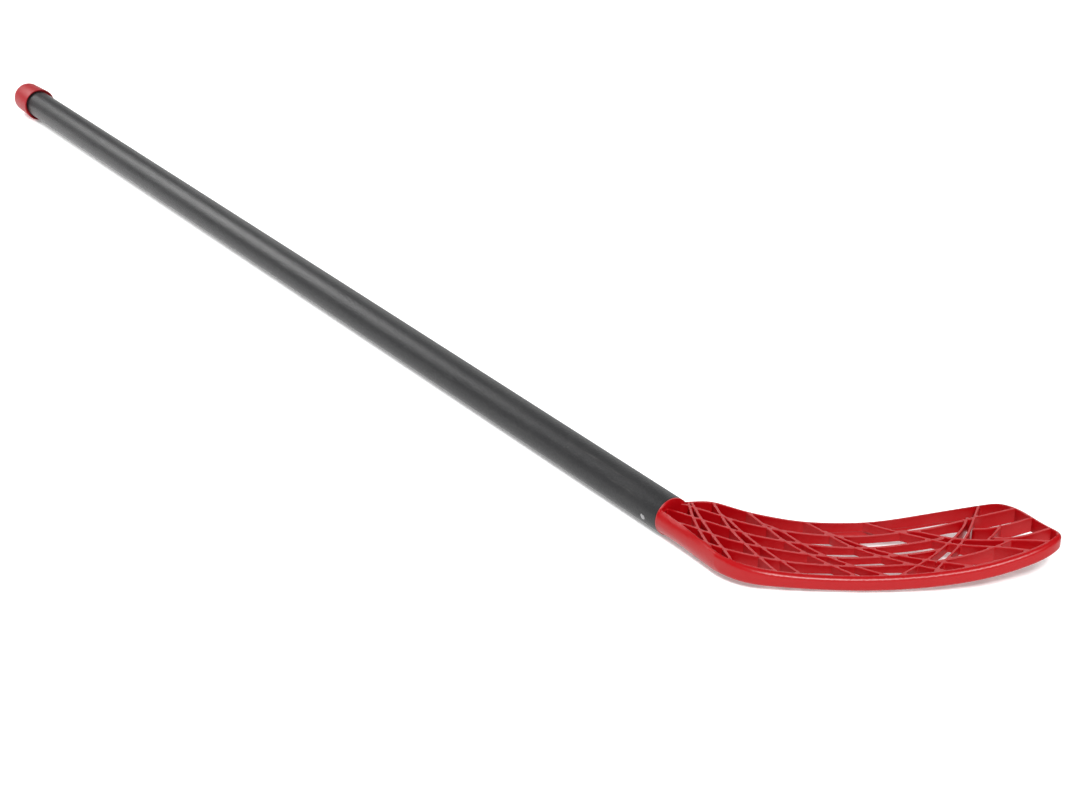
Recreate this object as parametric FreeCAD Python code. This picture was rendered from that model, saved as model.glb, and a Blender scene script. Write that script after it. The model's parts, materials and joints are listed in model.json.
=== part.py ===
"""Indoor hockey stick with a round tube shaft and a moulded lattice blade.

Four pieces: the plastic shaft tube, the blade moulding whose spigot plugs into
the tube, the end cap pushed over the other end, and the steel pin that locks
the blade.

The stick is drawn with the shaft axis along X, the cap at -X and the blade at
+X.  The blade runs away from the shaft at an angle, so its plan is drawn in
blade axes: u along the blade, v across it towards its upper edge.  At the end
the whole stick is laid on the floor as it rests.
"""
import FreeCAD
import Part
import math
import os
from FreeCAD import Placement, Rotation, Vector

# Shaft tube
TUBE_RADIUS = 12.5
TUBE_BORE_RADIUS = 10.0
TUBE_LENGTH = 1014.9
TUBE_EDGE_CHAMFER = 0.35

# End cap: a skirt over the tube with a closed, rounded end
CAP_MOUTH_X = -985.9
CAP_LENGTH = 35.5
CAP_MOUTH_RADIUS = 15.15
CAP_END_RADIUS = 14.0
CAP_CORNER = 7.3
CAP_MOUTH_ROUND = 0.6
CAP_BORE_RADIUS = 12.55

# Blade: collar and spigot
COLLAR_LENGTH = 1.8
SPIGOT_RADIUS = 9.95
SPIGOT_LENGTH = 60.0
SPIGOT_CORE_RADIUS = 6.5
SPIGOT_CORE_END_X = -4.0
SPIGOT_LEAD_IN = 1.0

# Blade: plan
BLADE_ANGLE = 51.0
NECK_LENGTH = 56.0
BLADE_OUTLINE = [(8.2, 6.6), (15, 8.0), (24, 9.8), (35, 7.0), (46, 2.9), (60, -0.4),
                 (80, -3.5), (102, -4.3), (124, -3.7), (146, -0.9), (170, 1.0), (188, 0.5),
                 (198.5, -1.8), (205, -7.6), (215, -25.5), (223.6, -43.5), (226.6, -53.0),
                 (220.5, -60.2), (206, -66.2), (188, -69.8), (164, -71.3), (135, -71.0),
                 (98, -69.9), (77, -69.2), (60.5, -68.3), (48.9, -66.4), (38.2, -61.9),
                 (29.2, -55.0)]

# Blade: top and bottom faces, as height over the shaft axis along u
TOP_FACE = [(-60, 8.0), (-10, 8.0), (10, 7.1), (32, 5.1), (55, 3.05), (72, 1.9), (88, 1.55),
            (120, 2.9), (160, 8.5), (200, 18.4), (240, 32.65)]
BOTTOM_FACE = [(-60, -8.0), (-10, -8.0), (15, -8.0), (40, -7.7), (65, -7.7), (90, -7.9),
               (120, -6.6), (160, -1.0), (200, 8.9), (240, 23.15)]
HEEL_SHOULDER = 3.0
UPPER_SHOULDER = 0.7
LONG_EDGE = 300.0

# Blade: the neck's round near side, as (x, growth of the round) along its run-out at the heel,
# and the block it is cut from
NECK_ROUND = [(-5.0, 0.0), (35.0, 0.0), (62.0, 12.0), (85.0, 40.0)]
NECK_BLOCK = (88.0, 40.0, 50.0)
NECK_BLOCK_START_X = -4.0

# Blade: lattice of ribs inside the rim
RIB_WIDTH = 1.75
CELL_CORNER = 0.9
SMALLEST_CELL_AREA = 2.0
LEAST_CELL_KEPT = 0.5
POCKET_MARGIN = 0.4
# How far the ribs reach below the top face along u, and how much more towards both long sides
RIB_DEPTH = [(-55, 26.0), (-15, 20.5), (18, 15.8), (46, 9.8), (66, 7.2), (84, 6.3), (98, 5.4),
             (112, 4.8), (130, 5.0), (144, 5.5), (158, 5.7), (168, 6.0), (180, 8.2), (192, 9.4),
             (204, 10.8), (238, 14.5)]
RIB_MIDDLE_V = -44.0
RIB_EDGE_EXTRA = [(40.0, 6.7), (-120.0, 5.7)]
POCKET_FLOOR = -30.0
RIM_INSIDE = [(3.7, 7.5), (12, 5.6), (18, 6.7), (24.5, 7.8), (35, 5.1), (46, 1.0), (60, -2.3),
              (80, -5.3), (102, -6.1), (124, -5.5), (146, -2.7), (170, -0.8), (187, -1.3),
              (197, -3.8), (203.2, -9.2), (212.8, -26.5), (221.2, -43.6), (223.7, -52.3),
              (217.5, -57.6), (206, -61.8), (190, -64.7), (165, -67.2), (137, -67.2),
              (108, -66.2), (76, -65.0), (52, -62.8), (37.5, -58.0), (27.5, -50.2)]
NECK_INSIDE = (4.2, -8.4)

LONG_RIBS = [
    [(3, 4.8), (12.5, 0.8), (29, -6), (43, -11.5), (57, -14.8), (75, -18), (95, -20.2),
     (115, -21.3), (136, -19.6), (158, -17.8), (180, -13.8), (193, -12.8), (212, -12.9)],
    [(-9, -0.5), (12, -11.2), (32, -19.5), (47.5, -25.2), (68, -29.2), (88, -32.4),
     (108, -34.6), (128, -34.6), (150, -32.4), (163, -31.4)],
    [(0, -19.5), (15.5, -25.2), (28, -31.5), (44, -36.6), (64, -40.2), (84, -43.2),
     (102, -45.8), (122, -45.8), (142, -45.2), (160, -43.2)],
    [(17, -38), (29, -44.3), (52, -50.3), (70, -53), (92, -54.6), (112, -56),
     (134, -56.6), (145, -58)],
    [(180, -26.2), (190, -29.2), (202, -28.8), (222, -28.2)],
    [(190, -40), (199, -44.5), (208, -45.2), (230, -43.6)],
    [(155, -56.8), (166, -55), (180, -53.2), (190, -50.4), (200, -46.5)],
]
CROSS_RIBS = [
    [(10.5, 10), (13, -9), (16, -22), (19.5, -34), (24, -46)],
    [(11.8, 10), (17, -8), (21.8, -22), (27, -35.5), (32.5, -48), (37, -64)],
    [(24.5, 12), (30.5, -4.5), (35.5, -19.5), (42, -32.5), (51, -48), (64, -68)],
    [(30, -4), (36.5, -12), (42, -21.5), (50.5, -34), (62, -48.5), (79, -69)],
    [(43, 6), (57, -12.5), (67, -27), (79, -40), (93, -53), (113, -70)],
    [(56, -11), (69, -19.5), (77.5, -29.5), (90, -42), (106, -54), (131, -70)],
    [(77, -1), (92, -15), (105, -30), (122, -43.5), (143, -57.5), (163, -70)],
    [(93, -15), (101, -21.5), (114, -32), (132, -44), (150, -53.5), (178, -69)],
    [(113, -1.5), (136, -18), (152, -29), (164.5, -38), (184, -48), (209, -64)],
    [(136, -18), (148, -20.5), (161, -29), (176, -37.5), (196, -45.5), (221, -60)],
    [(130, -71), (145.5, -58), (155, -49), (164, -38.5), (173, -26), (178.5, -12)],
    [(152, -71), (160, -57.5), (168, -46), (176, -32), (181.5, -17), (188, 2)],
    [(186, -42), (192, -35), (196, -28)],
]

# Locking pin
PIN_X = -12.3
PIN_ANGLE = 100.0
PIN_HEAD_RADIUS = 2.0
PIN_HEAD_HEIGHT = 0.45
PIN_SHANK_RADIUS = 1.4
PIN_CLEARANCE = 0.03
PIN_TIP_RADIUS = 7.4
PIN_SEAT_LENGTH = 20.0

# Resting position on the floor
REST_PITCH = 0.154
REST_ROLL = 3.46

# Limits well clear of the blade
BELOW = -60.0
ABOVE = 120.0
NEAR_V = -120.0
PLAN_WIDTH = 240.0

COS_BLADE = math.cos(math.radians(BLADE_ANGLE))
SIN_BLADE = math.sin(math.radians(BLADE_ANGLE))
X_AXIS = Vector(1, 0, 0)


def in_plan(point):
    """A (u, v) point of the blade plan on the XY plane."""
    u, v = point
    return Vector(u * COS_BLADE - v * SIN_BLADE, u * SIN_BLADE + v * COS_BLADE, 0)


def in_blade_section(point):
    """A (u, height) point in the vertical plane along the blade, far below its lower edge."""
    u, height = point
    base = in_plan((u, NEAR_V))
    return Vector(base.x, base.y, height)


def curve(points):
    """One smooth edge through the points."""
    spline = Part.BSplineCurve()
    spline.interpolate(points)
    return spline.toShape()


def arc(points):
    """A circular edge from its start, a point on the way, and its end."""
    return Part.Arc(*points).toShape()


def turned(profile):
    """Solid of revolution about the shaft axis from a closed (x, radius) outline of edges."""
    return Part.Face(Part.Wire(profile)).revolve(Vector(0, 0, 0), X_AXIS, 360)


def line(start, end):
    """A straight edge."""
    return Part.makeLine(start, end)


def on_axis(x, radius=0.0):
    """A point of a turned outline, or on the shaft axis when no radius is given."""
    return Vector(x, radius, 0)


def make_shaft():
    """The plain tube with chamfered ends and the hole for the pin."""
    start = -TUBE_LENGTH
    outer = Part.makeCylinder(TUBE_RADIUS, TUBE_LENGTH, on_axis(start), X_AXIS)
    rims = [edge for edge in outer.Edges if isinstance(edge.Curve, Part.Circle)]
    outer = outer.makeChamfer(TUBE_EDGE_CHAMFER, rims)
    bore = Part.makeCylinder(TUBE_BORE_RADIUS, TUBE_LENGTH, on_axis(start), X_AXIS)
    return outer.cut(bore).cut(make_pin_hole())


def make_cap():
    """The cap, turned: a straight-sided taper with a rounded, closed end."""
    mouth = CAP_MOUTH_X
    end = CAP_MOUTH_X - CAP_LENGTH
    bore_end = -TUBE_LENGTH
    corner_x = end + CAP_CORNER
    corner_r = CAP_END_RADIUS - CAP_CORNER
    diagonal = CAP_CORNER * math.sqrt(0.5)
    outside = [
        line(on_axis(end), on_axis(end, corner_r)),
        arc([on_axis(end, corner_r), on_axis(corner_x - diagonal, corner_r + diagonal),
             on_axis(corner_x, CAP_END_RADIUS)]),
        line(on_axis(corner_x, CAP_END_RADIUS), on_axis(mouth - CAP_MOUTH_ROUND, CAP_MOUTH_RADIUS)),
        line(on_axis(mouth - CAP_MOUTH_ROUND, CAP_MOUTH_RADIUS),
             on_axis(mouth, CAP_MOUTH_RADIUS - CAP_MOUTH_ROUND)),
        line(on_axis(mouth, CAP_MOUTH_RADIUS - CAP_MOUTH_ROUND), on_axis(mouth, CAP_BORE_RADIUS)),
        line(on_axis(mouth, CAP_BORE_RADIUS), on_axis(bore_end, CAP_BORE_RADIUS)),
        line(on_axis(bore_end, CAP_BORE_RADIUS), on_axis(bore_end)),
        line(on_axis(bore_end), on_axis(end)),
    ]
    return turned(outside)


def pin_direction():
    angle = math.radians(PIN_ANGLE)
    return Vector(0, -math.sin(angle), math.cos(angle))


def make_pin_hole():
    """The drilled hole for the pin, from outside the tube down to the pin's tip."""
    start = Vector(PIN_X, 0, 0) + pin_direction() * PIN_TIP_RADIUS
    reach = TUBE_RADIUS + PIN_HEAD_HEIGHT - PIN_TIP_RADIUS
    return Part.makeCylinder(PIN_SHANK_RADIUS + PIN_CLEARANCE, reach, start, pin_direction())


def make_pin():
    """Domed head resting on the tube, with a plain shank through the tube into the spigot."""
    direction = pin_direction()
    foot = Vector(PIN_X, 0, 0)
    shank = Part.makeCylinder(PIN_SHANK_RADIUS, TUBE_RADIUS - PIN_TIP_RADIUS - PIN_CLEARANCE,
                              foot + direction * (PIN_TIP_RADIUS + PIN_CLEARANCE), direction)
    dome_radius = (PIN_HEAD_RADIUS ** 2 + PIN_HEAD_HEIGHT ** 2) / (2 * PIN_HEAD_HEIGHT)
    dome = Part.makeSphere(dome_radius, foot + direction * (TUBE_RADIUS + PIN_HEAD_HEIGHT - dome_radius))
    head_blank = Part.makeCylinder(PIN_HEAD_RADIUS, 2 * PIN_HEAD_HEIGHT,
                                   foot + direction * (TUBE_RADIUS - PIN_HEAD_HEIGHT), direction)
    tube_solid = Part.makeCylinder(TUBE_RADIUS, PIN_SEAT_LENGTH,
                                   on_axis(PIN_X - PIN_SEAT_LENGTH / 2), X_AXIS)
    head = head_blank.common(dome).cut(tube_solid)
    return shank.fuse(head).removeSplitter()


def outline_edges():
    """The blade's plan outline, closed across the neck under the collar."""
    heel_start = Vector(NECK_LENGTH, -TUBE_RADIUS, 0)
    neck_start = Vector(COLLAR_LENGTH / 2, -TUBE_RADIUS, 0)
    around = [in_plan(point) for point in BLADE_OUTLINE]
    around[0] = Vector(COLLAR_LENGTH / 2, around[0].y, 0)
    return [
        line(neck_start, around[0]),
        curve(around + [heel_start]),
        line(heel_start, neck_start),
    ]


def moved_left(points, distance):
    """Points of a smooth curve, each moved square to the curve on its left side."""
    spline = Part.BSplineCurve()
    spline.interpolate(points)
    moved = []
    for point in points:
        tangent = spline.tangent(spline.parameter(point))[0]
        moved.append(point + Vector(-tangent.y, tangent.x, 0) * distance)
    return moved


def inner_edges(margin=0.0):
    """The rim's inside edge, around the lattice, or an edge that margin further out."""
    near = Vector(NECK_INSIDE[0], NECK_INSIDE[1] - margin, 0)
    around = moved_left([in_plan(point) for point in RIM_INSIDE], margin)
    return [
        line(near, around[0]),
        curve(around),
        line(around[-1], near),
    ]


def upright(face):
    """The plan face extruded through the whole height of the blade, along the mould's draw."""
    lowered = face.translated(Vector(0, 0, BELOW))
    return lowered.extrude(Vector(0, 0, ABOVE - BELOW))


def across_blade(profile):
    """A solid made by extruding a closed section in the u-height plane across the blade."""
    across = in_plan((0, PLAN_WIDTH))
    return Part.Face(Part.Wire(profile)).extrude(across)


def make_slab():
    """Everything between the blade's bottom and top faces."""
    top = [in_blade_section(point) for point in TOP_FACE]
    bottom = [in_blade_section(point) for point in BOTTOM_FACE]
    return across_blade([curve(top), line(top[-1], bottom[-1]), curve(bottom),
                         line(bottom[0], top[0])])


def top_height(u):
    """Height of the blade's top face at a distance along the blade."""
    spline = Part.BSplineCurve()
    spline.interpolate([Vector(along, height, 0) for along, height in TOP_FACE])
    upright_line = Part.Line(Vector(u, 0, 0), Vector(u, 1, 0))
    crossing = spline.intersect(upright_line)
    return crossing[0].Y


def pocket_section(v, extra):
    """The pocket's closed outline in the upright plane at v, with the ribs taller by extra."""
    across = in_plan((0, v - NEAR_V))
    ceiling = [in_blade_section((u, top_height(u) - depth - extra)) + across
               for u, depth in RIB_DEPTH]
    low_start = in_blade_section((RIB_DEPTH[0][0], POCKET_FLOOR)) + across
    low_end = in_blade_section((RIB_DEPTH[-1][0], POCKET_FLOOR)) + across
    return Part.Wire([curve(ceiling), line(ceiling[-1], low_end), line(low_end, low_start),
                      line(low_start, ceiling[0])])


def make_pocket():
    """The hollow under the lattice; the ribs keep their full height at the neck and the toe."""
    (far_v, far_extra), (near_v, near_extra) = RIB_EDGE_EXTRA
    sections = [pocket_section(near_v, near_extra), pocket_section(RIB_MIDDLE_V, 0.0),
                pocket_section(far_v, far_extra)]
    hollow = Part.makeLoft(sections, True, False)
    inside = Part.Face(Part.Wire(inner_edges(POCKET_MARGIN)))
    return hollow.common(upright(inside))


def make_neck_waste():
    """What is outside the round neck on its near side; the round fades out at the heel."""
    wires = []
    for x, growth in NECK_ROUND:
        circle = Part.Circle(Vector(x, growth, 0), X_AXIS, TUBE_RADIUS + growth)
        wires.append(Part.Wire(circle.toShape()))
    neck = Part.makeLoft(wires, True, False)
    length, width, height = NECK_BLOCK
    block = Part.makeBox(length, width, height, Vector(NECK_BLOCK_START_X, -width, -height / 2))
    return block.cut(neck)


def rib_face(points):
    """A rib's plan: a strip of constant width along a smooth curve."""
    middle = [in_plan(point) for point in points]
    left = moved_left(middle, RIB_WIDTH / 2)
    right = moved_left(middle, -RIB_WIDTH / 2)
    return Part.Face(Part.Wire([curve(left), line(left[-1], right[-1]),
                                curve(right), line(right[0], left[0])]))


def rounded_cell(face):
    """A lattice opening as an upright prism with rounded corners."""
    prism = upright(face)
    corners = [edge for edge in prism.Edges
               if abs(edge.Vertexes[0].Z - edge.Vertexes[-1].Z) > ABOVE]
    for radius in (CELL_CORNER, CELL_CORNER / 2, CELL_CORNER / 4):
        try:
            rounded = prism.makeFillet(radius, corners)
        except Part.OCCError:
            continue
        if rounded.isValid() and rounded.Volume > LEAST_CELL_KEPT * prism.Volume:
            return rounded
    return prism


def make_cells():
    """Every opening left between the ribs, as upright prisms."""
    inside = Part.Face(Part.Wire(inner_edges()))
    ribs = [rib_face(points) for points in LONG_RIBS + CROSS_RIBS]
    openings = inside.cut(ribs).Faces
    return [rounded_cell(face) for face in openings if face.Area > SMALLEST_CELL_AREA]


def is_rim_edge(edge):
    """True for the long edges where the rim wall meets the top and bottom faces."""
    return edge.Length > LONG_EDGE


def make_blade():
    """Rim, ribs and neck in one moulding, fused with the collar and the cored spigot."""
    prism = upright(Part.Face(Part.Wire(outline_edges())))
    body = prism.common(make_slab())
    rim_edges = [edge for edge in body.Edges if is_rim_edge(edge)]
    body = body.makeFillet(UPPER_SHOULDER, HEEL_SHOULDER, rim_edges)
    body = body.cut(make_neck_waste())
    body = body.cut(make_pocket())
    body = body.cut(make_cells())
    collar = Part.makeCylinder(TUBE_RADIUS, COLLAR_LENGTH, on_axis(0), X_AXIS)
    collar = collar.makeChamfer(TUBE_EDGE_CHAMFER, [collar.Edges[0], collar.Edges[2]])
    spigot = Part.makeCylinder(SPIGOT_RADIUS, SPIGOT_LENGTH, on_axis(-SPIGOT_LENGTH), X_AXIS)
    tip = [edge for edge in spigot.Edges
           if isinstance(edge.Curve, Part.Circle) and edge.Curve.Center.x < -SPIGOT_LENGTH / 2]
    spigot = spigot.makeChamfer(SPIGOT_LEAD_IN, tip)
    core = Part.makeCylinder(SPIGOT_CORE_RADIUS, SPIGOT_LENGTH + SPIGOT_CORE_END_X,
                             on_axis(-SPIGOT_LENGTH), X_AXIS)
    return body.fuse([collar, spigot]).cut(core).cut(make_pin_hole()).removeSplitter()


def laid_on_floor(shape, lift):
    """A copy tipped and rolled as the stick rests, then moved by lift."""
    tilt = Rotation(Vector(0, 1, 0), REST_PITCH)
    roll = Rotation(X_AXIS, -REST_ROLL)
    placed = shape.copy()
    placed.transformShape(Placement(lift, tilt.multiply(roll)).toMatrix(), False)
    return placed


nodes = {
    "shaft_tube": make_shaft(),
    "blade": make_blade(),
    "end_cap": make_cap(),
    "blade_pin": make_pin(),
}

rested = [laid_on_floor(shape, Vector(0, 0, 0)) for shape in nodes.values()]
box = Part.makeCompound(rested).optimalBoundingBox(False, False)
to_origin = Vector(-(box.XMin + box.XMax) / 2, -(box.YMin + box.YMax) / 2, -box.ZMin)
for name, shape in nodes.items():
    solid = laid_on_floor(shape, to_origin)
    solid.exportStep("parts/%s.step" % name)
    print(name, len(solid.Solids), solid.isValid(), round(solid.Volume), len(solid.Faces))
print("origin shift", to_origin)
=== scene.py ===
# %% [markdown]
# # An indoor hockey stick
# A floor-hockey stick has four pieces: a round plastic tube, a red blade moulded as an open lattice,
# a red cap pushed over the far end of the tube, and a small steel pin that locks the blade in.
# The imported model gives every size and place. Here the round pieces are turned again at a finer
# step, the blade's sharp mesh edges get the small radii that a mould leaves, and every piece gets
# its own finish.

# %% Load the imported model
import bmesh
import bpy
import json
from math import cos, pi, radians, sin
from mathutils import Euler, Matrix, Vector


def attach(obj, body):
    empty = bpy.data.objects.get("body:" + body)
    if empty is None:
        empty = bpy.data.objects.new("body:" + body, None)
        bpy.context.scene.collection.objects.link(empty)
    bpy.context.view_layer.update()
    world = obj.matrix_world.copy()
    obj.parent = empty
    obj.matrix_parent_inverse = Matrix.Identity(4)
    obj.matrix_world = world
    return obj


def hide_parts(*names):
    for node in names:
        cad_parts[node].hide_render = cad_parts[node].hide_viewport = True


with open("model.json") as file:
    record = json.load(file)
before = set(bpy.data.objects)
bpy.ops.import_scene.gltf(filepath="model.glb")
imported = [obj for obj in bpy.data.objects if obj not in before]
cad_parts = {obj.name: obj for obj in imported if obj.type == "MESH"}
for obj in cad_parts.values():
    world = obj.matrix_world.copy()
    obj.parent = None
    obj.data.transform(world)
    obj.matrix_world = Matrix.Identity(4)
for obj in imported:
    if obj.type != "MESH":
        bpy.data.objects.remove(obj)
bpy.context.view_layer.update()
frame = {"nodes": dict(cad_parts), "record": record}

MM = 0.001

# %% [markdown]
# ## Where the stick lies
# The stick is easiest to describe along its own shaft: x runs from the cap to the blade with zero
# where the tube meets the blade, in millimetres. On the floor it is tipped a little, because the
# cap is thicker than the tube, and rolled a little, because the blade's belly rests on the floor.
# The end cap's face in the record gives the place, so nothing is fitted by eye.

# %% Place the shaft's own axes on the floor
CAP_END_X = -1021.4
REST_ROLL = radians(3.46)

cap_face = next(m for m in frame["record"]["mounts"] if m["name"] == "cap_end")
towards_blade = -Vector(cap_face["axis"]).normalized()
shaft_zero = Vector(cap_face["pos_m"]) - towards_blade * CAP_END_X * MM
tip = Vector((1, 0, 0)).rotation_difference(towards_blade).to_matrix().to_4x4()
on_floor = (Matrix.Translation(shaft_zero) @ tip @ Matrix.Rotation(-REST_ROLL, 4, "X")
            @ Matrix.Scale(MM, 4))
print("tube meets blade at", [round(c, 4) for c in shaft_zero])

# %% [markdown]
# ## Camera
# The stick is seen from beside the blade and above, with the cap far away and small. A long lens
# keeps the blade from swelling towards the eye. The place is written in the shaft's own axes, so
# the view stays the same however the stick is laid down.

# %% Camera
camera_data = bpy.data.cameras.new("camera")
camera_data.sensor_width = 36.0
camera_data.lens = 66.27
camera_data.clip_end = 50
camera = bpy.data.objects.new("camera", camera_data)
bpy.context.scene.collection.objects.link(camera)
seen_from = Matrix.LocRotScale(Vector((821.4, -681.2, 613.8)),
                               Euler((radians(63.23), 0, radians(54.68))), None)
eye = on_floor @ seen_from
camera.matrix_world = Matrix.LocRotScale(eye.to_translation(), eye.to_quaternion(), None)
bpy.context.scene.camera = camera
print("camera at", [round(c, 3) for c in camera.location])

# %% [markdown]
# ## Floor
# The stick lies on a plain, matt, nearly white sheet, like a studio sweep. The sheet gives off
# a little light of its own, so the stick's own shadow stays pale. It could be a curved sheet, but
# its far edge is never in view, so one flat square does the same with a single face.

# %% Floor
FLOOR_HALF_WIDTH = 6.0

floor_mesh = bpy.data.meshes.new("floor")
bm = bmesh.new()
bmesh.ops.create_grid(bm, x_segments=1, y_segments=1, size=FLOOR_HALF_WIDTH)
bm.to_mesh(floor_mesh)
bm.free()
floor = bpy.data.objects.new("floor", floor_mesh)
bpy.context.scene.collection.objects.link(floor)

floor_paint = bpy.data.materials.new("pale_floor")
floor_paint.use_nodes = True
floor_shader = floor_paint.node_tree.nodes["Principled BSDF"]
floor_shader.inputs["Base Color"].default_value = (0.92, 0.92, 0.92, 1)
floor_shader.inputs["Roughness"].default_value = 0.9
floor_shader.inputs["Specular IOR Level"].default_value = 0.1
floor_shader.inputs["Emission Color"].default_value = (1, 1, 1, 1)
floor_shader.inputs["Emission Strength"].default_value = 0.24
floor_mesh.materials.append(floor_paint)
print("floor", len(floor_mesh.polygons), "face")

# %% [markdown]
# ## Light
# A dim white surround fills the shadows. Three soft panels do the rest, and each one is there for
# one highlight. The small one over the camera is what the blade's round shoulder catches. The one
# off the cap's end draws the long streak along the top of the tube. The wide low one behind lifts
# the flat tops of the ribs and the rim above the walls of the openings.

# %% Surround and soft panels
world = bpy.data.worlds.new("white_surround")
world.use_nodes = True
world.node_tree.nodes["Background"].inputs["Color"].default_value = (1, 1, 1, 1)
world.node_tree.nodes["Background"].inputs["Strength"].default_value = 0.2
bpy.context.scene.world = world
bpy.context.scene.view_settings.view_transform = "Standard"


def soft_panel(name, place, aim, width, depth, power):
    """A rectangular soft light at a place, turned to face a point."""
    data = bpy.data.lights.new(name, "AREA")
    data.shape = "RECTANGLE"
    data.size = width
    data.size_y = depth
    data.energy = power
    light = bpy.data.objects.new(name, data)
    bpy.context.scene.collection.objects.link(light)
    facing = (Vector(aim) - Vector(place)).to_track_quat("-Z", "Y")
    light.matrix_world = Matrix.LocRotScale(Vector(place), facing, None)
    print(name, power, "W")


soft_panel("panel_over_camera", (1.78, -0.78, 1.65), (0.5, 0.0, 0), 0.45, 0.45, 58)
soft_panel("panel_at_side", (-1.4, -0.67, 1.25), (0.1, 0.0, 0), 1.2, 1.0, 34)
soft_panel("panel_behind", (-1.6, 2.2, 1.3), (0.2, 0, 0), 3.2, 1.3, 28)

# %% [markdown]
# ## Small tools for finishes
# Two helpers keep the node building short. One starts a shared group with named sockets. The
# other adds a node and sets its values by name.

# %% Helpers for groups and nodes
FLOAT = "NodeSocketFloat"


def new_group(name, inputs, outputs):
    """A shader node group from (socket name, default) inputs and output names."""
    group = bpy.data.node_groups.new(name, "ShaderNodeTree")
    for label, default in inputs:
        socket = group.interface.new_socket(label, in_out="INPUT", socket_type=FLOAT)
        socket.default_value = default
    for label in outputs:
        group.interface.new_socket(label, in_out="OUTPUT", socket_type=FLOAT)
    return group, group.nodes.new("NodeGroupInput"), group.nodes.new("NodeGroupOutput")


def add(tree, kind, values=None, **properties):
    """A node with its properties set, and its unlinked inputs given by name."""
    node = tree.nodes.new(kind)
    for key, value in properties.items():
        setattr(node, key, value)
    for key, value in (values or {}).items():
        node.inputs[key].default_value = value
    return node


print("helpers ready")

# %% [markdown]
# ## Shared group: moulded grain
# A mould leaves its own fine texture on plastic, and the colour in the plastic is never stirred
# quite evenly. The group gives a height for the fine grain, a speckle a little coarser than the
# grain, and a slow drift across the piece. Object coordinates are real metres here, so a scale of
# 1000 makes grains about a millimetre apart on every piece.

# %% Moulded grain
grain, g_in, g_out = new_group("moulded_grain",
                               [("Grain Scale", 900.0), ("Speckle Scale", 400.0),
                                ("Drift Scale", 18.0)],
                               ["Height", "Speckle", "Drift"])
where = grain.nodes.new("ShaderNodeTexCoord")
for socket, output, detail in (("Grain Scale", "Height", 3.0), ("Speckle Scale", "Speckle", 2.0),
                               ("Drift Scale", "Drift", 2.0)):
    noise = add(grain, "ShaderNodeTexNoise", {"Detail": detail, "Roughness": 0.6})
    grain.links.new(where.outputs["Object"], noise.inputs["Vector"])
    grain.links.new(g_in.outputs[socket], noise.inputs["Scale"])
    grain.links.new(noise.outputs["Fac"], g_out.inputs[output])
print("group", grain.name, len(grain.nodes), "nodes")

# %% [markdown]
# ## Shared group: handling wear
# Even a new stick has been picked up and slid about. Scuffs are thin and long, so their noise is
# squeezed across the stick before it is cut to a mask. Dust settles in soft patches. The sole mask
# is strongest at floor height, where the piece rubs, and is broken up so that it has no hard line.
# Each one could be painted, but a mask made from position fits any piece at any size.

# %% Handling wear
wear, w_in, w_out = new_group("handling_wear",
                              [("Scuff Scale", 60.0), ("Dust Scale", 45.0),
                               ("Sole Height", 0.002)],
                              ["Scuffs", "Dust", "Sole"])
where = wear.nodes.new("ShaderNodeTexCoord")
squeezed = add(wear, "ShaderNodeMapping", {"Scale": (0.25, 5.0, 3.0), "Rotation": (0.3, 0.2, 0.5)})
wear.links.new(where.outputs["Object"], squeezed.inputs["Vector"])
scratch = add(wear, "ShaderNodeTexNoise", {"Detail": 4.0, "Roughness": 0.7})
wear.links.new(squeezed.outputs["Vector"], scratch.inputs["Vector"])
wear.links.new(w_in.outputs["Scuff Scale"], scratch.inputs["Scale"])
scuff_cut = add(wear, "ShaderNodeMapRange", {"From Min": 0.62, "From Max": 0.72})
wear.links.new(scratch.outputs["Fac"], scuff_cut.inputs["Value"])
wear.links.new(scuff_cut.outputs["Result"], w_out.inputs["Scuffs"])

patches = add(wear, "ShaderNodeTexNoise", {"Detail": 5.0, "Roughness": 0.65})
wear.links.new(where.outputs["Object"], patches.inputs["Vector"])
wear.links.new(w_in.outputs["Dust Scale"], patches.inputs["Scale"])
dust_cut = add(wear, "ShaderNodeMapRange", {"From Min": 0.45, "From Max": 0.8})
wear.links.new(patches.outputs["Fac"], dust_cut.inputs["Value"])
wear.links.new(dust_cut.outputs["Result"], w_out.inputs["Dust"])

split = wear.nodes.new("ShaderNodeSeparateXYZ")
wear.links.new(where.outputs["Object"], split.inputs["Vector"])
low = add(wear, "ShaderNodeMapRange", {"From Min": 0.0, "To Min": 1.0, "To Max": 0.0})
wear.links.new(split.outputs["Z"], low.inputs["Value"])
wear.links.new(w_in.outputs["Sole Height"], low.inputs["From Max"])
broken = add(wear, "ShaderNodeMath", operation="MULTIPLY")
wear.links.new(low.outputs["Result"], broken.inputs[0])
wear.links.new(patches.outputs["Fac"], broken.inputs[1])
wear.links.new(broken.outputs["Value"], w_out.inputs["Sole"])
print("group", wear.name, len(wear.nodes), "nodes")

# %% [markdown]
# ## One recipe for every finish
# All four pieces share the recipe and differ in their values. Two close tones drift over the
# piece, the speckle shifts them a little, then scuffs, dust and the rubbed sole are laid on top as
# slightly paler tones. Scuffs also make the surface duller, and the grain gives the bump. The
# plastic's reflection is held a little below the usual strength, which keeps the red pure on the
# walls of the openings.

# %% Finish recipe
MIX_A, MIX_B, MIX_RESULT = 6, 7, 2
SPECKLE_STRENGTH = 0.35
SOLE_STRENGTH = 0.5
SCUFF_DULLING = 0.12


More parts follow.
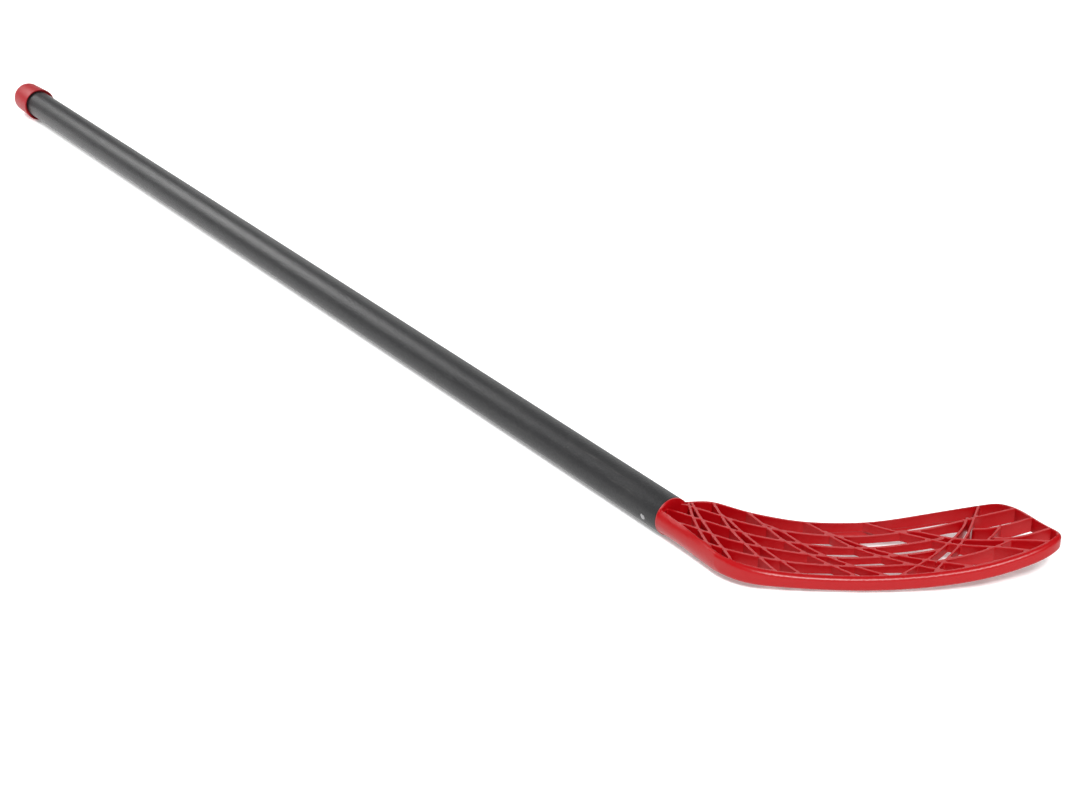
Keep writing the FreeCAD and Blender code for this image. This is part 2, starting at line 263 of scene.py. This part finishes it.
def layered(tree, below, mask, tone, amount):
    """A colour socket with a paler tone laid over it where a mask is bright."""
    strength = add(tree, "ShaderNodeMath", operation="MULTIPLY")
    strength.inputs[1].default_value = amount
    tree.links.new(mask, strength.inputs[0])
    mix = add(tree, "ShaderNodeMix", data_type="RGBA")
    tree.links.new(strength.outputs["Value"], mix.inputs[0])
    tree.links.new(below, mix.inputs[MIX_A])
    mix.inputs[MIX_B].default_value = (*tone, 1)
    return mix.outputs[MIX_RESULT]


def finish(name, tones, speckle, worn, rough, bump_mm, scales, reflect=0.35, metal=0.0,
           marks=(0.3, 0.1)):
    """A finish from two drifting tones, a speckle tone, a worn tone, and its gloss and grain.

    rough is the least and most roughness, scales are for grain, speckle and drift, and marks are
    the strengths of scuffs and dust.
    """
    material = bpy.data.materials.new(name)
    material.use_nodes = True
    tree = material.node_tree
    shader = tree.nodes["Principled BSDF"]
    shader.inputs["Specular IOR Level"].default_value = reflect
    shader.inputs["Metallic"].default_value = metal
    texture = add(tree, "ShaderNodeGroup", node_tree=grain)
    for socket, scale in zip(("Grain Scale", "Speckle Scale", "Drift Scale"), scales):
        texture.inputs[socket].default_value = scale
    marked = add(tree, "ShaderNodeGroup", node_tree=wear)

    drift = add(tree, "ShaderNodeMix", data_type="RGBA")
    tree.links.new(texture.outputs["Drift"], drift.inputs[0])
    drift.inputs[MIX_A].default_value = (*tones[0], 1)
    drift.inputs[MIX_B].default_value = (*tones[1], 1)
    colour = layered(tree, drift.outputs[MIX_RESULT], texture.outputs["Speckle"], speckle,
                     SPECKLE_STRENGTH)
    for mask, amount in zip(("Scuffs", "Dust", "Sole"), (*marks, SOLE_STRENGTH)):
        colour = layered(tree, colour, marked.outputs[mask], worn, amount)
    tree.links.new(colour, shader.inputs["Base Color"])

    gloss = add(tree, "ShaderNodeMapRange", {"To Min": rough[0], "To Max": rough[1]})
    tree.links.new(texture.outputs["Drift"], gloss.inputs["Value"])
    dulled = add(tree, "ShaderNodeMath", operation="MULTIPLY_ADD", use_clamp=True)
    dulled.inputs[1].default_value = SCUFF_DULLING
    tree.links.new(marked.outputs["Scuffs"], dulled.inputs[0])
    tree.links.new(gloss.outputs["Result"], dulled.inputs[2])
    tree.links.new(dulled.outputs["Value"], shader.inputs["Roughness"])

    bump = add(tree, "ShaderNodeBump", {"Distance": bump_mm * MM})
    tree.links.new(texture.outputs["Height"], bump.inputs["Height"])
    tree.links.new(bump.outputs["Normal"], shader.inputs["Normal"])
    print("finish", name, len(tree.nodes), "nodes")
    return material


# %% [markdown]
# ## Turning
# The tube, the cap and the pin are all round, so each is a half outline in millimetres spun about
# the shaft's axis and then laid on the floor. A cylinder with bevelled ends would also do for the
# tube, but an outline can carry each small step and radius where it belongs.

# %% Turning helpers
WELD_MM = 1e-4
TURNED_SHARP_ANGLE = radians(35)


def turned_piece(name, outline, place, steps=144):
    """A closed solid from (x, radius) points spun about x, laid at its place."""
    bm = bmesh.new()
    corners = [bm.verts.new((x, 0, radius)) for x, radius in outline]
    rim = [bm.edges.new(pair) for pair in zip(corners, corners[1:])]
    if outline[0][1] > 0:
        rim.append(bm.edges.new((corners[-1], corners[0])))
    bmesh.ops.spin(bm, geom=corners + rim, cent=(0, 0, 0), axis=(1, 0, 0),
                   angle=2 * pi, steps=steps, use_merge=True)
    bmesh.ops.remove_doubles(bm, verts=bm.verts, dist=WELD_MM)
    bmesh.ops.recalc_face_normals(bm, faces=bm.faces)
    bmesh.ops.transform(bm, matrix=place, verts=bm.verts)
    mesh = bpy.data.meshes.new(name)
    bm.to_mesh(mesh)
    bm.free()
    mesh.shade_smooth()
    mesh.set_sharp_from_angle(angle=TURNED_SHARP_ANGLE)
    piece = bpy.data.objects.new(name, mesh)
    bpy.context.scene.collection.objects.link(piece)
    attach(piece, "root")
    print(name, len(mesh.polygons), "faces")
    return piece


def quarter_round(centre, radius, start, stop, steps):
    """Points of an arc in the (x, radius) plane, angles in degrees from the x direction."""
    angles = [radians(start + (stop - start) * k / steps) for k in range(steps + 1)]
    return [(centre[0] + radius * cos(a), centre[1] + radius * sin(a)) for a in angles]


# %% [markdown]
# ## Shaft tube
# The shaft is a plain drawn or moulded tube in dark grey plastic, 25 mm across. Its end by the
# blade has a small chamfer, which shows as a thin dark line where it meets the red collar. The
# surface has a fine stipple that helps the grip, so its bump is the strongest of the four.

# %% Shaft tube
shaft_finish = finish("shaft_grey_plastic",
                      tones=((0.014, 0.014, 0.015), (0.022, 0.022, 0.023)),
                      speckle=(0.054, 0.054, 0.055), worn=(0.08, 0.078, 0.075),
                      rough=(0.33, 0.40), bump_mm=0.3, scales=(850.0, 650.0, 18.0),
                      reflect=0.3)
tube_outline = [(-1014.9, 10.0), (-1014.9, 12.15), (-1014.55, 12.5),
                (-0.45, 12.5), (-0.2, 12.38), (-0.05, 12.1), (0.0, 11.8), (0.0, 10.0)]
shaft = turned_piece("shaft", tube_outline, on_floor)
shaft.data.materials.append(shaft_finish)
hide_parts("shaft_tube")

# %% [markdown]
# ## End cap
# The cap is a short red moulding pushed over the tube. It is a little wider than the tube, tapers
# slightly so it can leave its mould, and ends in a large soft radius that is kind to the hand.
# Its mouth is opened out a little, which leaves a thin dark ring around the tube. Its surface is
# more satin than the blade's.

# %% End cap
cap_finish = finish("cap_red_plastic",
                    tones=((0.27, 0.003, 0.007), (0.32, 0.005, 0.010)),
                    speckle=(0.34, 0.008, 0.014), worn=(0.42, 0.06, 0.06),
                    rough=(0.42, 0.5), bump_mm=0.06, scales=(1200.0, 500.0, 30.0),
                    marks=(0.25, 0.06))
cap_outline = [(-1021.4, 0.0)]
cap_outline += quarter_round((-1014.1, 6.7), 7.3, 180, 90, 14)
cap_outline += quarter_round((-986.5, 14.55), 0.6, 90, 0, 4)
cap_outline += [(-985.9, 14.3), (-986.1, 14.1), (-988.6, 13.9), (-988.9, 12.55),
                (-1014.9, 12.55), (-1014.9, 0.0)]
cap = turned_piece("cap", cap_outline, on_floor)
cap.data.materials.append(cap_finish)
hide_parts("end_cap")

# %% [markdown]
# ## Locking pin
# One small blackened steel pin goes through the tube into the blade's spigot. Only its low domed
# head shows, dark with one small glint. It is turned about its own axis, then swung to the side
# of the tube where it sits.

# %% Locking pin
PIN_X = -12.3
PIN_SWING = radians(100)

pin_finish = finish("pin_steel", tones=((0.22, 0.22, 0.225), (0.3, 0.3, 0.305)),
                    speckle=(0.34, 0.34, 0.34), worn=(0.3, 0.29, 0.28),
                    rough=(0.18, 0.28), bump_mm=0.015, scales=(3500.0, 1800.0, 300.0),
                    reflect=0.5, metal=1.0)
pin_outline = [(7.43, 0.0), (7.43, 1.4), (12.3, 1.4), (12.35, 2.0), (12.5, 2.0), (12.7, 1.7),
               (12.85, 1.2), (12.93, 0.6), (12.95, 0.0)]
towards_pin = Matrix.Translation((PIN_X, 0, 0)) @ Matrix.Rotation(PIN_SWING, 4, "X")
up_from_x = Matrix.Rotation(radians(-90), 4, "Y")
pin = turned_piece("pin", pin_outline, on_floor @ towards_pin @ up_from_x, steps=48)
pin.data.materials.append(pin_finish)
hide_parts("blade_pin")

# %% [markdown]
# ## Blade
# The blade is one red moulding: a deep rim around crossing ribs, with a round neck that turns
# into the tube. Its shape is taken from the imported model, so every rib stays where it belongs.
# A mould never leaves a knife edge, so the lips where a flat top meets a steep wall are rounded
# with a small bevel. Only those edges are picked, by how their two faces lie, because a bevel on
# every edge would blur the curved neck. The long edges of the large round shoulder are few and
# coarse, so they are softened as well, which lets one clean highlight run along it.

# %% Blade shape
FLAT_ENOUGH = 0.85
STEEP_ENOUGH = 0.3
LIP_ROUND = 0.4 * MM
SHOULDER_BEND = (radians(8), radians(50))
SHOULDER_STEP = 3.0 * MM
SHOULDER_ROUND = 0.5 * MM
BLADE_WELD = 0.002 * MM
BLADE_SHARP_ANGLE = radians(50)

bm = bmesh.new()
bm.from_mesh(frame["nodes"]["blade"].data)
bmesh.ops.remove_doubles(bm, verts=bm.verts, dist=BLADE_WELD)
lips = []
for edge in bm.edges:
    if len(edge.link_faces) != 2 or not edge.is_convex:
        continue
    steep, flat = sorted(abs(face.normal.z) for face in edge.link_faces)
    if flat > FLAT_ENOUGH and steep < STEEP_ENOUGH:
        lips.append(edge)
bmesh.ops.bevel(bm, geom=lips, offset=LIP_ROUND, offset_type="OFFSET", affect="EDGES",
                segments=3, profile=0.5, material=-1, clamp_overlap=False, loop_slide=False)

bm.normal_update()
least, most = SHOULDER_BEND
shoulder = []
for edge in bm.edges:
    if len(edge.link_faces) != 2 or not edge.is_convex:
        continue
    faces_up = max(face.normal.z for face in edge.link_faces) > 0
    if faces_up and least < edge.calc_face_angle() < most and edge.calc_length() > SHOULDER_STEP:
        shoulder.append(edge)
bmesh.ops.bevel(bm, geom=shoulder, offset=SHOULDER_ROUND, offset_type="OFFSET", affect="EDGES",
                segments=2, profile=0.5, material=-1, clamp_overlap=True, loop_slide=True)
blade_mesh = bpy.data.meshes.new("lattice_blade")
bm.to_mesh(blade_mesh)
bm.free()
blade_mesh.shade_smooth()
blade_mesh.set_sharp_from_angle(angle=BLADE_SHARP_ANGLE)
blade = bpy.data.objects.new("lattice_blade", blade_mesh)
bpy.context.scene.collection.objects.link(blade)
even = blade.modifiers.new("even_shading", "WEIGHTED_NORMAL")
even.keep_sharp = True
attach(blade, "root")
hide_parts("blade")
print("blade lips", len(lips), "shoulder edges", len(shoulder),
      "faces", len(blade_mesh.polygons))

# %% [markdown]
# ## Blade finish
# The blade is the glossiest piece: a hard, springy plastic in deep red. Its grain is fine and
# shallow, so highlights stay clean along the shoulder, and its tones drift in longer waves, like
# the flow of plastic along a mould.

# %% Blade finish
blade_finish = finish("blade_red_plastic",
                      tones=((0.31, 0.0003, 0.002), (0.37, 0.0005, 0.003)),
                      speckle=(0.38, 0.0006, 0.0035), worn=(0.44, 0.03, 0.04),
                      rough=(0.31, 0.39), bump_mm=0.03, scales=(900.0, 450.0, 14.0),
                      reflect=0.3, marks=(0.12, 0.04))
blade_mesh.materials.clear()
blade_mesh.materials.append(blade_finish)
print("blade wears", blade_finish.name)
